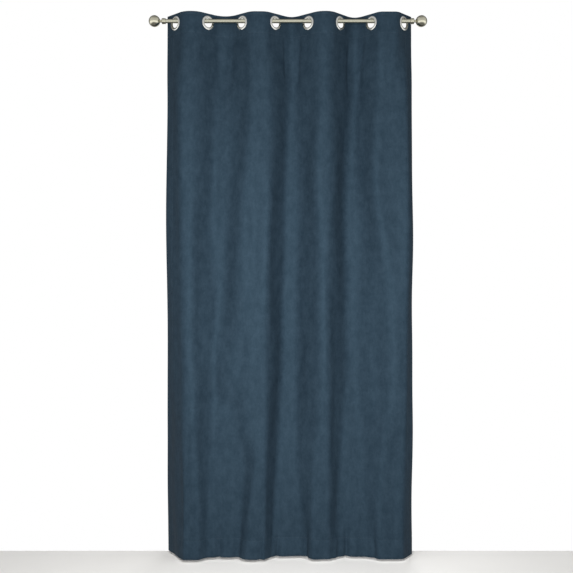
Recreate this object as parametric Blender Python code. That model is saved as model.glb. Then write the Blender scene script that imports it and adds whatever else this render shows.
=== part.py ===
"""Thermal curtain on eight eyelets, hung in folds on its rod with ball finials.

Metres, +Z up. The origin is the middle of the rod, on its axis. X runs along the rod, to the right as
seen from the room, and the room is on the -Y side. The curtain is one cloth, cut and hemmed flat, and
every level section through its folds is as long as the cloth is wide, so nothing in it stretches.
"""

import math

import bmesh
import bpy
import numpy as np
from mathutils import Matrix

MM = 0.001

# Cloth, as cut and hemmed
CLOTH_WIDTH = 1.400
CLOTH_DROP = 2.600
CLOTH_THICK = 0.002
HEMMED_THICK = 0.003
HEADER_DEPTH = 0.100
FOOT_HEM_DEPTH = 0.090
SIDE_HEM_DEPTH = 0.048
HEM_STEP = 0.002

# Eyelets, set in a row in the header
EYELETS = 8
EYELET_INSET = 0.060
EYELET_DOWN = 0.045
EYELET_PITCH = (CLOTH_WIDTH - 2 * EYELET_INSET) / (EYELETS - 1)
RING_OUTER_R = 0.0335
RING_LIP_R = 0.002
RING_LIP_CENTRE_R = 0.023
RING_BARREL_R = 0.0245
RING_DISH_R = 0.0285
RING_DISH_HALF = 0.0040
RING_RIM_HALF = 0.0030
RING_GAP = 0.0003
RING_SIDES = 20
HOLE_R = 0.0252

# Rod and finials
ROD_LENGTH = 1.200
ROD_R = 0.010
ROD_SIDES = 24
BALL_R = 0.0275
BALL_OUT = 0.638
COLLAR_R = 0.014
COLLAR_START = 0.585
COLLAR_END = 0.603
COLLAR_ROUNDING = 0.002
NECK_R = 0.0065
SLEEVE_GAP = 0.0003
FINIAL_SIDES = 24
BALL_RINGS = 11

# The header: how far the cloth leans from the wall's line at each eyelet, in degrees, and how it turns
# from one eyelet to the next
EYELET_LEANS = (44, 38, 38, 39, 39, 45, 44, 47)
HEADER_TURNS = (
    # turn, how far the flat at both eyelets runs on towards it in mm, how much of the rest bends
    ("crest 1", 35, 1.0),
    ("trough 1", 35, 0.9),
    ("crest 2", 35, 0.7),
    ("trough 2", 48, 1.0),
    ("crest 3", 35, 1.0),
    ("trough 3", 47, 1.0),
    ("crest 4", 35, 0.5),
)
FLAT_AT_EYELET = 0.035

# Under the header each flank of a fold has a middle, in mm along the rod from its centre, a lean in
# degrees there, and a width in mm between the two places where it has half that lean. All are given at
# the same heights, by the distance down from the top edge.
HEIGHTS = (0.30, 0.77, 1.30, 1.82, 1.95, 2.10, 2.35, 2.60)
FLANKS = (
    (
        "left edge to crest 1",
        # middle, lean, width
        (-541, -538, -540, -525, -521, -518, -512, -507),
        (44, 48, 48, 51, 53, 57, 60, 61),
        (56, 52, 52, 56, 55, 54, 53, 54),
    ),
    (
        "crest 1 to trough 1",
        (-384, -401, -405, -400, -400, -402, -408, -411),
        (38, 38, 41, 41, 42, 43, 46, 42),
        (96, 80, 68, 72, 69, 64, 54, 64),
    ),
    (
        "trough 1 to crest 2",
        (-230, -250, -259, -284, -210, -180, -202, -218),
        (34, 31, 23, 17, 9, 32, 38, 38),
        (90, 78, 80, 80, 70, 54, 60, 84),
    ),
    (
        "crest 2 to trough 2",
        (-34, -46, -61, -70, -75, -82, -92, -100),
        (46, 52, 57, 57, 58, 58, 59, 59),
        (80, 64, 52, 56, 56, 56, 52, 52),
    ),
    (
        "trough 2 to crest 3",
        (96, 97, 98, 98, 95, 92, 92, 100),
        (40, 46, 43, 40, 40, 41, 42, 40),
        (96, 78, 74, 82, 77, 72, 74, 88),
    ),
    (
        "crest 3 to trough 3",
        (258, 246, 233, 232, 227, 220, 211, 210),
        (46, 51, 47, 50, 50, 50, 48, 43),
        (94, 72, 64, 58, 57, 56, 56, 62),
    ),
    (
        "trough 3 to crest 4",
        (382, 370, 413, 416, 414, 410, 402, 408),
        (42, 45, 31, 28, 27, 26, 28, 34),
        (84, 72, 92, 106, 104, 100, 100, 100),
    ),
    (
        "crest 4 to right edge",
        (584, 588, 588, 582, 578, 573, 562, 560),
        (54, 60, 60, 57, 55, 52, 52, 57),
        (36, 28, 28, 34, 38, 44, 54, 52),
    ),
)
# How much longer each flank runs out on its trough's side, and how much deeper the right edge hangs
# than the left one in mm, at those heights
TROUGH_STRETCH = (1.0, 1.0, 1.0, 1.1, 1.2, 1.3, 1.5, 1.6)
RIGHT_EDGE_BEHIND = (3, -8, -20, -36, -41, -46, -50, -52)
FLANK_STRAIGHT = 0.2
HALF_LEAN_AT = 0.6
MOST_TILT = 0.2
CLOTH_CENTRE = 0.007
FOOT_SPREAD = 0.009
SETTLES_AT = 0.35

# Mesh sizes
BEND_COLUMNS = 6
FLAT_COLUMN = 0.012
SETTLING_ROWS = 4
BODY_ROWS = 15
PLACE_DIGITS = 6
SAMPLES = 1401
HALVINGS = 26

ALONG = np.linspace(0.0, CLOTH_WIDTH, SAMPLES)


def ease(share):
    """A soft step from 0 to 1."""
    share = min(max(share, 0.0), 1.0)
    return share * share * (3 - 2 * share)


def crossing(rising, low, high):
    """Where a rising function crosses zero, by halving."""
    for _ in range(HALVINGS):
        middle = (low + high) / 2
        if rising(middle) < 0:
            low = middle
        else:
            high = middle
    return (low + high) / 2


def eyelet_along(index):
    return EYELET_INSET + EYELET_PITCH * index


def side_of(index):
    """-1 where a flank comes forward from left to right, 1 where it goes back."""
    return -1 if index % 2 == 0 else 1


def header_lean():
    """The cloth's lean at each sample: flat at the eyelets, with an even bend between two of them.

    Each fold turns where it must for both its eyelets to lie on the rod.
    """
    leans = [math.radians(lean) for lean in EYELET_LEANS]
    places = [0.0]
    values = [-leans[0]]
    for index, (_, flat_mm, bent_share) in enumerate(HEADER_TURNS):
        lean, after = leans[index], leans[index + 1]
        flat = flat_mm * MM
        free = EYELET_PITCH - 2 * flat
        bent = free * bent_share
        rise = (1 - math.cos(lean)) / lean
        fall = (1 - math.cos(after)) / after
        uneven = flat * (math.sin(after) - math.sin(lean))
        start = eyelet_along(index) + flat
        turn = start + (uneven + bent * fall) / (rise + fall)
        places += [start, turn, turn + free - bent + MM * MM, start + free]
        values += [side_of(index) * lean, 0.0, 0.0, side_of(index + 1) * after]
    return np.interp(ALONG, places + [CLOTH_WIDTH], values + [values[-1]])


def walk(lean, steps):
    """X and Y of a line, from its lean at each sample and the length of each step."""
    middle = (lean[1:] + lean[:-1]) / 2
    x = np.concatenate([[0.0], np.cumsum(np.cos(middle) * steps)])
    y = np.concatenate([[0.0], np.cumsum(np.sin(middle) * steps)])
    return x, y


HEADER_LEAN = header_lean()
HEADER_SPAN = walk(HEADER_LEAN, np.diff(ALONG))[0][-1]


def span(down):
    """How wide the cloth hangs, a little wider towards the foot."""
    return HEADER_SPAN + FOOT_SPREAD * ease((down - HEADER_DEPTH) / (CLOTH_DROP - HEADER_DEPTH))


def at_height(values, down):
    """One of a table's values, on a smooth curve through its heights."""
    place = np.interp(down, HEIGHTS, range(len(HEIGHTS)))
    above = min(int(place), len(HEIGHTS) - 2)
    share = place - above
    slopes = np.gradient(values, HEIGHTS) * (HEIGHTS[above + 1] - HEIGHTS[above])
    bend = share * (1 - share) * ((1 - share) * slopes[above] - share * slopes[above + 1])
    return values[above] + (values[above + 1] - values[above]) * ease(share) + bend


def flank_bump(spread):
    """How much of its lean a flank has, from its middle to where it turns."""
    ramp = np.clip((np.abs(spread) - FLANK_STRAIGHT) / (1 - FLANK_STRAIGHT), 0, 1)
    return (1 + np.cos(math.pi * ramp)) / 2


def body_lean(down):
    """The cloth's lean at each sample at one height under the header, from the tables of folds."""
    width = span(down)
    x = np.linspace(-width / 2, width / 2, SAMPLES)
    behind = at_height(RIGHT_EDGE_BEHIND, down) * MM
    stretch = at_height(TROUGH_STRETCH, down)

    def leans_at(width_share):
        lean = np.zeros(len(x))
        for index, (_, middles, leans, widths) in enumerate(FLANKS):
            place = at_height(middles, down) * MM - CLOTH_CENTRE
            reach = at_height(widths, down) * MM * width_share / 2 / HALF_LEAN_AT
            into_trough = (x - place) * side_of(index)
            bump = flank_bump(into_trough / reach / np.where(into_trough > 0, stretch, 1))
            if index in (0, len(FLANKS) - 1):
                # An end flank runs on straight from its middle to the side edge
                bump[into_trough > 0] = 1
            lean += side_of(index) * math.radians(at_height(leans, down)) * bump
        tilt = crossing(
            lambda tilt: np.tan(lean + tilt).mean() * width - behind, -MOST_TILT, MOST_TILT
        )
        return lean + tilt

    def steps_of(lean):
        return np.diff(x) / np.cos((lean[1:] + lean[:-1]) / 2)

    share = crossing(lambda part: steps_of(leans_at(part)).sum() - CLOTH_WIDTH, 0.5, 1.8)
    lean = leans_at(share)
    along = np.concatenate([[0.0], np.cumsum(steps_of(lean))])
    return np.interp(ALONG, along, lean)


def section(down):
    """X, Y and lean of the cloth's middle layer at each sample, at one height."""
    steps = np.diff(ALONG)
    lean = HEADER_LEAN
    if down > HEADER_DEPTH + HEM_STEP:
        share = ease((down - HEADER_DEPTH) / (SETTLES_AT - HEADER_DEPTH))
        mixed = HEADER_LEAN * (1 - share) + body_lean(max(down, HEIGHTS[0])) * share
        factor = crossing(lambda part: span(down) - walk(mixed * part, steps)[0][-1], 0.7, 1.3)
        lean = mixed * factor
    x, y = walk(lean, steps)
    x += CLOTH_CENTRE - x[-1] / 2
    header_y = walk(HEADER_LEAN, steps)[1]
    on_rod = header_y - np.interp(eyelet_along(0), ALONG, header_y)
    y += on_rod.mean() - y.mean()
    return x, y, lean


def eyelet_drop(lean):
    """How far an eyelet's centre hangs under the rod's axis: its lip touches the rod obliquely."""
    clear = ROD_R + RING_LIP_R + RING_GAP + 0.2 * MM
    level = math.cos(lean) ** 2
    steep = math.sin(lean) ** 2
    oblique = math.sqrt(level * (RING_LIP_CENTRE_R**2 - clear**2 / steep))
    return min(oblique, RING_LIP_CENTRE_R - clear)


EYELET_DROPS = [eyelet_drop(math.radians(lean)) for lean in EYELET_LEANS]


def top_edge(along):
    """Height of the top edge: level over each eyelet, and eased from one to the next."""
    place = (along - EYELET_INSET) / EYELET_PITCH
    left = min(max(int(math.floor(place)), 0), EYELETS - 2)
    flat = FLAT_AT_EYELET / EYELET_PITCH
    share = ease((place - left - flat) / (1 - 2 * flat))
    drop = EYELET_DROPS[left] + (EYELET_DROPS[left + 1] - EYELET_DROPS[left]) * share
    return EYELET_DOWN - drop


def eyelet_frame(index):
    """Places a ring turned about local Z: local X along the cloth, local Z towards the room."""
    x, y, lean = section(0.0)
    along = eyelet_along(index)
    lean_here = np.interp(along, ALONG, lean)
    cos, sin = math.cos(lean_here), math.sin(lean_here)
    centre = (np.interp(along, ALONG, x), np.interp(along, ALONG, y), -EYELET_DROPS[index])
    return Matrix(
        (
            (cos, 0, sin, centre[0]),
            (sin, 0, -cos, centre[1]),
            (0, 1, 0, centre[2]),
            (0, 0, 0, 1),
        )
    )


def material(name, colour, roughness, metallic):
    made = bpy.data.materials.new(name)
    made.use_nodes = True
    shader = made.node_tree.nodes["Principled BSDF"]
    shader.inputs["Base Color"].default_value = (*colour, 1)
    shader.inputs["Roughness"].default_value = roughness
    shader.inputs["Metallic"].default_value = metallic
    return made


def add_object(name, bm, finish, smooth=True):
    bmesh.ops.recalc_face_normals(bm, faces=bm.faces)
    mesh = bpy.data.meshes.new(name)
    bm.to_mesh(mesh)
    bm.free()
    if smooth:
        mesh.shade_smooth()
        mesh.set_sharp_from_angle(angle=math.radians(40))
    mesh.materials.append(finish)
    made = bpy.data.objects.new(name, mesh)
    bpy.context.scene.collection.objects.link(made)
    return made


def turned(profile, sides, closed):
    """A solid turned about Z from (radius, height) points."""
    bm = bmesh.new()
    points = [bm.verts.new((radius, 0, height)) for radius, height in profile]
    pairs = list(zip(points, points[1:]))
    if closed:
        pairs.append((points[-1], points[0]))
    edges = [bm.edges.new(pair) for pair in pairs]
    bmesh.ops.spin(
        bm, geom=points + edges, axis=(0, 0, 1), angle=math.tau, steps=sides, use_merge=True
    )
    bmesh.ops.remove_doubles(bm, verts=bm.verts, dist=0.01 * MM)
    return bm


def cloth_columns():
    """Distances across the cloth that the mesh has a column at."""
    columns = [0.0, CLOTH_WIDTH]
    for edge in (SIDE_HEM_DEPTH, SIDE_HEM_DEPTH + HEM_STEP):
        columns += [edge, CLOTH_WIDTH - edge]
    for index in range(EYELETS):
        place = eyelet_along(index)
        for offset in (FLAT_AT_EYELET, FLAT_COLUMN):
            columns += [place - offset, place + offset]
        if index < EYELETS - 1:
            start = place + FLAT_AT_EYELET
            end = place + EYELET_PITCH - FLAT_AT_EYELET
            columns += list(np.linspace(start, end, BEND_COLUMNS + 2)[1:-1])
    return sorted({round(column, PLACE_DIGITS) for column in columns})


def cloth_rows():
    """Distances down the cloth that the mesh has a row at."""
    foot = CLOTH_DROP - FOOT_HEM_DEPTH
    rows = [0.0, HEADER_DEPTH]
    rows += list(np.linspace(HEADER_DEPTH + HEM_STEP, SETTLES_AT, SETTLING_ROWS))
    rows += list(np.linspace(SETTLES_AT, foot - HEM_STEP, BODY_ROWS)[1:])
    return rows + [foot, CLOTH_DROP - FOOT_HEM_DEPTH / 2, CLOTH_DROP]


def is_hemmed(along, down):
    from_side = min(along, CLOTH_WIDTH - along)
    in_header = down <= HEADER_DEPTH
    in_foot = down >= CLOTH_DROP - FOOT_HEM_DEPTH
    return in_header or in_foot or from_side < SIDE_HEM_DEPTH + HEM_STEP / 2


def make_cutters():
    """Round holes for the eight eyelets, as one cutter."""
    bm = bmesh.new()
    for index in range(EYELETS):
        bmesh.ops.create_cone(
            bm,
            cap_ends=True,
            segments=RING_SIDES,
            radius1=HOLE_R,
            radius2=HOLE_R,
            depth=4 * HEMMED_THICK,
            matrix=eyelet_frame(index),
        )
    cutter = add_object("eyelet_hole_cutters", bm, material("cutter", (0.8, 0.2, 0.2), 0.5, 0))
    cutter.hide_render = True
    cutter.display_type = "WIRE"
    return cutter


def make_curtain():
    columns = cloth_columns()
    bm = bmesh.new()
    hems = bm.verts.layers.deform.verify()
    grid = []
    for down in cloth_rows():
        x, y, _ = section(down)
        row = []
        for along in columns:
            point = [np.interp(along, ALONG, x), np.interp(along, ALONG, y), top_edge(along) - down]
            vert = bm.verts.new(point)
            if is_hemmed(along, down):
                vert[hems][0] = 1.0
            row.append(vert)
        grid.append(row)
    for upper, lower in zip(grid, grid[1:]):
        for index in range(len(columns) - 1):
            bm.faces.new((upper[index], lower[index], lower[index + 1], upper[index + 1]))
    finish = material("curtain_cloth", (0.036, 0.065, 0.094), 0.95, 0)
    curtain = add_object("curtain_panel", bm, finish)
    curtain.vertex_groups.new(name="hems")
    thicken = curtain.modifiers.new("cloth thickness", "SOLIDIFY")
    thicken.thickness = HEMMED_THICK
    thicken.offset = 0
    thicken.use_even_offset = True
    thicken.vertex_group = "hems"
    thicken.thickness_vertex_group = CLOTH_THICK / HEMMED_THICK
    cut = curtain.modifiers.new("eyelet holes", "BOOLEAN")
    cut.operation = "DIFFERENCE"
    cut.solver = "EXACT"
    cut.object = make_cutters()
    return curtain


def ring_profile():
    """(radius, height) round a pair of snapped eyelet rings, with the groove that grips the cloth."""
    groove = HEMMED_THICK / 2 + RING_GAP
    half = [
        (RING_LIP_CENTRE_R, RING_LIP_R),
        (RING_DISH_R, RING_DISH_HALF),
        (RING_OUTER_R - 1.5 * MM, RING_RIM_HALF + 0.5 * MM),
        (RING_OUTER_R, (RING_RIM_HALF + groove) / 2),
        (RING_OUTER_R - 1.0 * MM, groove),
        (RING_BARREL_R, groove),
    ]
    lip = [
        (
            RING_LIP_CENTRE_R - RING_LIP_R * math.cos(math.radians(angle)),
            RING_LIP_R * math.sin(math.radians(angle)),
        )
        for angle in (-45, 0, 45)
    ]
    other = [(radius, -height) for radius, height in reversed(half)]
    return half + other + lip


def make_rings():
    finish = material("eyelet_nickel", (0.62, 0.61, 0.56), 0.25, 1)
    for index in range(EYELETS):
        bm = turned(ring_profile(), RING_SIDES, closed=True)
        bmesh.ops.transform(bm, matrix=eyelet_frame(index), verts=bm.verts)
        add_object(f"eyelet_ring_{index + 1}", bm, finish)


def make_rod():
    bm = bmesh.new()
    along_x = Matrix.Rotation(math.pi / 2, 4, "Y")
    bmesh.ops.create_cone(
        bm,
        cap_ends=True,
        segments=ROD_SIDES,
        radius1=ROD_R,
        radius2=ROD_R,
        depth=ROD_LENGTH,
        matrix=along_x,
    )
    add_object("curtain_rod", bm, material("rod_nickel", (0.49, 0.46, 0.37), 0.3, 1))


def finial_profile():
    """(radius, distance along the rod) from the sleeve's blind end, out over the ball, to its tip."""
    bore = ROD_R + SLEEVE_GAP
    sleeve_end = ROD_LENGTH / 2 + SLEEVE_GAP
    ball_start = math.acos(NECK_R / BALL_R)
    points = [
        (0, sleeve_end),
        (bore, sleeve_end),
        (bore, COLLAR_START),
        (COLLAR_R - COLLAR_ROUNDING, COLLAR_START),
        (COLLAR_R, COLLAR_START + COLLAR_ROUNDING),
        (COLLAR_R, COLLAR_END - COLLAR_ROUNDING),
        (COLLAR_R - COLLAR_ROUNDING, COLLAR_END),
        (NECK_R, COLLAR_END + 1.5 * MM),
    ]
    for angle in np.linspace(-ball_start, math.pi / 2, BALL_RINGS):
        points.append((BALL_R * math.cos(angle), BALL_OUT + BALL_R * math.sin(angle)))
    points[-1] = (0, BALL_OUT + BALL_R)
    return points


def make_finials():
    finish = material("finial_nickel", (0.49, 0.46, 0.37), 0.22, 1)
    for name, quarter in (("finial_left", -1), ("finial_right", 1)):
        bm = turned(finial_profile(), FINIAL_SIDES, closed=False)
        outward = Matrix.Rotation(quarter * math.pi / 2, 4, "Y")
        bmesh.ops.transform(bm, matrix=outward, verts=bm.verts)
        add_object(name, bm, finish)


def main():
    for old in list(bpy.data.objects):
        bpy.data.objects.remove(old, do_unlink=True)
    make_rod()
    make_finials()
    make_rings()
    make_curtain()


main()
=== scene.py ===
"""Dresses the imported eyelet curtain, its rod and its finials, and sets up the picture.

Metres, in the frame's own axes: X along the rod, the room on the -Y side, +Z up, and the origin in the
middle of the rod. The cloth repeats the part's own folds, and adds its hems, stitches and small creases.
"""

import math

import bmesh
import bpy
import numpy as np
from mathutils import Matrix, Vector


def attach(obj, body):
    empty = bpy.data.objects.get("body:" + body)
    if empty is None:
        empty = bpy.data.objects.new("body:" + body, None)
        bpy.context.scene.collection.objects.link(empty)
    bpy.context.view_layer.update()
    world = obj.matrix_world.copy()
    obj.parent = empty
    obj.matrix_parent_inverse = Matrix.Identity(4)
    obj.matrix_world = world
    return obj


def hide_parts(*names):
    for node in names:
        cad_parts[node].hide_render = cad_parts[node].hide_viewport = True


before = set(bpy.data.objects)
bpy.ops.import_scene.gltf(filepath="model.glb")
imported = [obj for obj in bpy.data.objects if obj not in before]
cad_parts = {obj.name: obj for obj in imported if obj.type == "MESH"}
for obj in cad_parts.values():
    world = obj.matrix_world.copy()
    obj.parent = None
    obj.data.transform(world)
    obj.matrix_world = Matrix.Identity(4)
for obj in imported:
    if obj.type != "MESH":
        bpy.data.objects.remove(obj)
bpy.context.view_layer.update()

MM = 0.001

# Cloth, as cut and hemmed
CLOTH_WIDTH = 1.400
CLOTH_DROP = 2.600
CLOTH_THICK = 0.002
HEMMED_THICK = 0.003
HEADER_DEPTH = 0.100
FOOT_HEM_DEPTH = 0.090
SIDE_HEM_DEPTH = 0.048
TOP_STITCH_DOWN = 0.014
HEM_STEP = 0.002

# Eyelets, set in a row in the header
EYELETS = 8
EYELET_INSET = 0.060
EYELET_DOWN = 0.045
EYELET_PITCH = (CLOTH_WIDTH - 2 * EYELET_INSET) / (EYELETS - 1)
RING_OUTER_R = 0.0335
RING_LIP_R = 0.002
RING_LIP_CENTRE_R = 0.023
RING_BARREL_R = 0.0245
RING_GAP = 0.0003
RING_GROOVE_GAP = 0.00015
RING_GROOVE_FLOOR = 0.0005
RING_SIDES = 96
# The front of a ring, as radius and height in mm, from its lip over the dome to its rim
RING_DOME = (
    (22.3, 2.35),
    (23.3, 3.15),
    (24.8, 3.75),
    (26.6, 3.95),
    (28.4, 3.80),
    (30.0, 3.40),
    (31.4, 2.85),
    (32.5, 2.35),
    (33.25, 2.00),
    (33.5, 1.80),
    (33.4, 1.68),
)
HOLE_CUT_R = 0.0252
HOLE_EDGE_R = 0.0255

# Rod and finials
ROD_LENGTH = 1.200
ROD_R = 0.010
BALL_R = 0.0275
BALL_OUT = 0.638
COLLAR_R = 0.014
COLLAR_START = 0.585
COLLAR_END = 0.603
NECK_R = 0.0065
SLEEVE_GAP = 0.0003
BALL_POINTS = 34
ROD_END_ROUND = 0.0006
ROD_RINGS = 25
ROD_SIDES = 64
# The collar's bead, then its face: how far in from its full radius, and how far along, in mm
COLLAR_BEAD = 0.0014
COLLAR_FACE = ((0.9, 3.4), (0.5, 5.0), (0.1, 8.0), (0.0, 11.0))
COLLAR_SHOULDER = 0.003
COLLAR_LIP = 0.0002
# The neck's foot: how far out from its radius, and how far past the collar, in mm
NECK_FOOT = ((1.2, 0.2), (0.0, 1.5))

# Turned metal: an edge is sharp from this many degrees, and points nearer than this are one
SHARP_FROM = 40
SAME_POINT = 0.01 * MM

# The header: how far the cloth leans from the wall's line at each eyelet, in degrees, and how it turns
# from one eyelet to the next
EYELET_LEANS = (44, 38, 38, 39, 39, 45, 44, 47)
HEADER_TURNS = (
    # turn, how far the flat at both eyelets runs on towards it in mm, how much of the rest bends
    ("crest 1", 35, 1.0),
    ("trough 1", 35, 0.9),
    ("crest 2", 35, 0.7),
    ("trough 2", 48, 1.0),
    ("crest 3", 35, 1.0),
    ("trough 3", 47, 1.0),
    ("crest 4", 35, 0.5),
)
FLAT_AT_EYELET = 0.035

# Under the header each flank of a fold has a middle, in mm along the rod from its centre, a lean in
# degrees there, and a width in mm between the two places where it has half that lean. All are given at
# the same heights, by the distance down from the top edge.
HEIGHTS = (0.30, 0.77, 1.30, 1.82, 1.95, 2.10, 2.35, 2.60)
FLANKS = (
    (
        "left edge to crest 1",
        # middle, lean, width
        (-541, -538, -540, -525, -521, -518, -512, -507),
        (44, 48, 48, 51, 53, 57, 60, 61),
        (56, 52, 52, 56, 55, 54, 53, 54),
    ),
    (
        "crest 1 to trough 1",
        (-384, -401, -405, -400, -400, -402, -408, -411),
        (38, 38, 41, 41, 42, 43, 46, 42),
        (96, 80, 68, 72, 69, 64, 54, 64),
    ),
    (
        "trough 1 to crest 2",
        (-230, -250, -259, -284, -210, -180, -202, -218),
        (34, 31, 23, 17, 9, 32, 38, 38),
        (90, 78, 80, 80, 70, 54, 60, 84),
    ),
    (
        "crest 2 to trough 2",
        (-34, -46, -61, -70, -75, -82, -92, -100),
        (46, 52, 57, 57, 58, 58, 59, 59),
        (80, 64, 52, 56, 56, 56, 52, 52),
    ),
    (
        "trough 2 to crest 3",
        (96, 97, 98, 98, 95, 92, 92, 100),
        (40, 46, 43, 40, 40, 41, 42, 40),
        (96, 78, 74, 82, 77, 72, 74, 88),
    ),
    (
        "crest 3 to trough 3",
        (258, 246, 233, 232, 227, 220, 211, 210),
        (46, 51, 47, 50, 50, 50, 48, 43),
        (94, 72, 64, 58, 57, 56, 56, 62),
    ),
    (
        "trough 3 to crest 4",
        (382, 370, 413, 416, 414, 410, 402, 408),
        (42, 45, 31, 28, 27, 26, 28, 34),
        (84, 72, 92, 106, 104, 100, 100, 100),
    ),
    (
        "crest 4 to right edge",
        (584, 588, 588, 582, 578, 573, 562, 560),
        (54, 60, 60, 57, 55, 52, 52, 57),
        (36, 28, 28, 34, 38, 44, 54, 52),
    ),
)
# How much longer each flank runs out on its trough's side, and how much deeper the right edge hangs
# than the left one in mm, at those heights
TROUGH_STRETCH = (1.0, 1.0, 1.0, 1.1, 1.2, 1.3, 1.5, 1.6)
RIGHT_EDGE_BEHIND = (3, -8, -20, -36, -41, -46, -50, -52)
FLANK_STRAIGHT = 0.2
HALF_LEAN_AT = 0.6
MOST_TILT = 0.2
CLOTH_CENTRE = 0.007
FOOT_SPREAD = 0.009
SETTLES_AT = 0.35

# Small creases: where each starts and ends, across and down the cloth in metres, then its width and how
# far it stands towards the room in mm, with a minus for a trough
CREASES = (
    # crease, from, to, width, height
    ("foot, first trough", (0.360, 2.42), (0.354, 2.61), 22, -11.0),
    ("foot, right of it", (0.392, 2.47), (0.380, 2.62), 18, 1.6),
    ("foot, before the second crest", (0.476, 2.24), (0.440, 2.63), 36, -12.0),
    ("foot, second crest", (0.568, 2.46), (0.564, 2.62), 20, -8.0),
    ("foot, second trough's left", (0.684, 2.42), (0.666, 2.61), 22, -12.0),
    ("foot, second trough's right", (0.716, 2.40), (0.708, 2.62), 26, 2.0),
    ("foot, before the third crest", (0.824, 2.42), (0.808, 2.62), 24, -11.0),
    ("foot, third trough's left", (1.042, 2.38), (1.025, 2.61), 22, -13.0),
    ("foot, third trough's ridge", (1.012, 2.30), (0.966, 2.61), 26, 4.6),
    ("foot, third trough's right", (1.094, 2.44), (1.086, 2.62), 15, -3.2),
    ("foot, last flank", (1.170, 2.42), (1.162, 2.62), 24, -8.0),
    ("foot, last crest's right", (1.300, 2.36), (1.270, 2.62), 26, 2.4),
    ("head, first trough", (0.334, -0.20), (0.336, 0.30), 44, -3.0),
    ("head, second trough", (0.699, -0.20), (0.701, 0.32), 50, -5.0),
    ("head, third trough", (1.064, -0.20), (1.066, 0.32), 48, -5.0),
    ("head, first trough's left", (0.300, 0.10), (0.312, 0.40), 24, -2.0),
    ("head, first trough's right", (0.372, 0.10), (0.364, 0.36), 24, -2.2),
    ("head, second trough's left", (0.664, 0.09), (0.672, 0.34), 18, -3.2),
    ("head, second trough's middle", (0.706, 0.10), (0.702, 0.42), 24, 1.6),
    ("head, second trough's right", (0.742, 0.09), (0.736, 0.36), 20, -3.2),
    ("head, third trough's left", (1.036, 0.09), (1.040, 0.38), 18, -3.4),
    ("head, third trough's middle", (1.068, 0.10), (1.064, 0.40), 24, 1.6),
    ("head, third trough's right", (1.112, 0.09), (1.104, 0.36), 22, -2.8),
    ("first trough's soft bottom", (0.326, 0.34), (0.300, 1.86), 84, 4.2),
    ("second trough's soft bottom", (0.704, 0.34), (0.694, 1.10), 60, 2.6),
    ("head, second crest", (0.512, 0.09), (0.508, 0.44), 26, -1.6),
    ("head, last crest", (1.262, 0.09), (1.256, 0.40), 24, -1.6),
)
CREASE_FADE = 0.06

# Waves that keep the folds from being ruled
WAVES = 26
WAVE_SEED = 11
WAVE_ACROSS = (0.10, 0.36)
WAVE_DOWN = (0.45, 1.90)
WAVE_HEIGHT = 0.0022
WAVES_START = 0.12
WAVES_FULL = 0.50

# The seams' furrows and puckers
FURROW_DEEP = 0.0007
FURROW_HALF = 0.0045
PUCKER_HEIGHT = 0.0004
PUCKER_ACROSS = 0.017
PUCKER_REACH = 0.020
PUCKERS_START = 0.1
# How a row of puckers wanders: waves, each with its height, turns in radians a metre, and start
LEVEL_WANDER = ((1.0, 61.0, 0.0), (1.0, 23.0, 1.3))
SIDE_WANDER = ((1.5, 37.0, 0.0), (1.0, 11.0, 0.7))
HEM_IN_FRONT = 0.45
EDGE_ROUND = 0.0014

# The cloth's mesh
COLUMN_STEP = 0.0056
HEAD_ROW_STEP = 0.0052
SETTLING_ROW_STEP = 0.013
BODY_ROW_STEP = 0.030
FOOT_ROW_STEP = 0.0125
EDGE_PLACES = (0.35 * MM, EDGE_ROUND)
LEAST_STEP = 0.2 * MM
SAMPLES = 1401
HALVINGS = 26
ALONG = np.linspace(0.0, CLOTH_WIDTH, SAMPLES)

# Thread
STITCH_LENGTH = 0.0032
STITCH_SPACING = 0.0042
THREAD_R = 0.00032
THREAD_SUNK = 0.4
STITCH_STEP = 0.008
STITCH_FROM_RING = RING_OUTER_R + 1.5 * MM
STITCH_FROM_EDGE = 0.004
STITCH_TO_EDGE = 0.003

# The picture
CAMERA_AT = (-0.0069, -3.93, -1.2686)
CAMERA_LENS = 51.64
FLOOR_TOP = -2.576
FLOOR_THICK = 0.02
FLOOR_BACK = 0.135
FLOOR_SIZE = (7.0, 6.0)
LIGHTS = {
    # light: place, aimed at, size, power, colour
    "key": ((-0.12, -2.60, -1.25), (0.0, 0.0, -1.27), (0.7, 1.8), 85, (1.0, 0.975, 0.955)),
    "back_fill": ((0.9, 3.4, -0.9), (0.0, 0.0, -1.25), (1.6, 2.0), 45, (1.0, 1.0, 1.0)),
    "floor_light": ((0.0, -1.2, 1.2), (0.0, -0.8, -2.5), (3.0, 3.0), 150, (1.0, 1.0, 1.0)),
}
# The soft room that lights the cloth, from straight down to straight up, dark at both sides
ROOM_LEVELS = ((0.0, 0.06), (0.32, 0.12), (0.46, 0.50), (0.56, 0.55), (0.72, 0.22), (1.0, 0.16))
DIFFUSE_SHARE = 0.18
SIDES_DARK = 0.92
# What gloss mirrors, from straight down to straight up, and from the room to the wall
MIRRORED_LEVELS = (
    (0.0, 0.13),
    (0.15, 0.13),
    (0.20, 0.20),
    (0.25, 0.66),
    (0.30, 0.92),
    (0.46, 0.98),
    (0.49, 0.56),
    (0.54, 0.47),
    (0.78, 0.45),
    (0.90, 0.36),
    (0.985, 0.20),
)
MIRRORED_DEPTHS = ((0.50, 1.0), (0.58, 0.75), (0.66, 0.36), (0.74, 0.25), (0.92, 0.25), (0.985, 0.8))
MIRRORED_GAIN = 1.68


def ease(share):
    """A soft step from 0 to 1."""
    share = np.clip(share, 0.0, 1.0)
    return share * share * (3 - 2 * share)


def crossing(rising, low, high):
    """Where a rising function crosses zero, by halving."""
    for _ in range(HALVINGS):
        middle = (low + high) / 2
        if rising(middle) < 0:
            low = middle
        else:
            high = middle
    return (low + high) / 2


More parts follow.
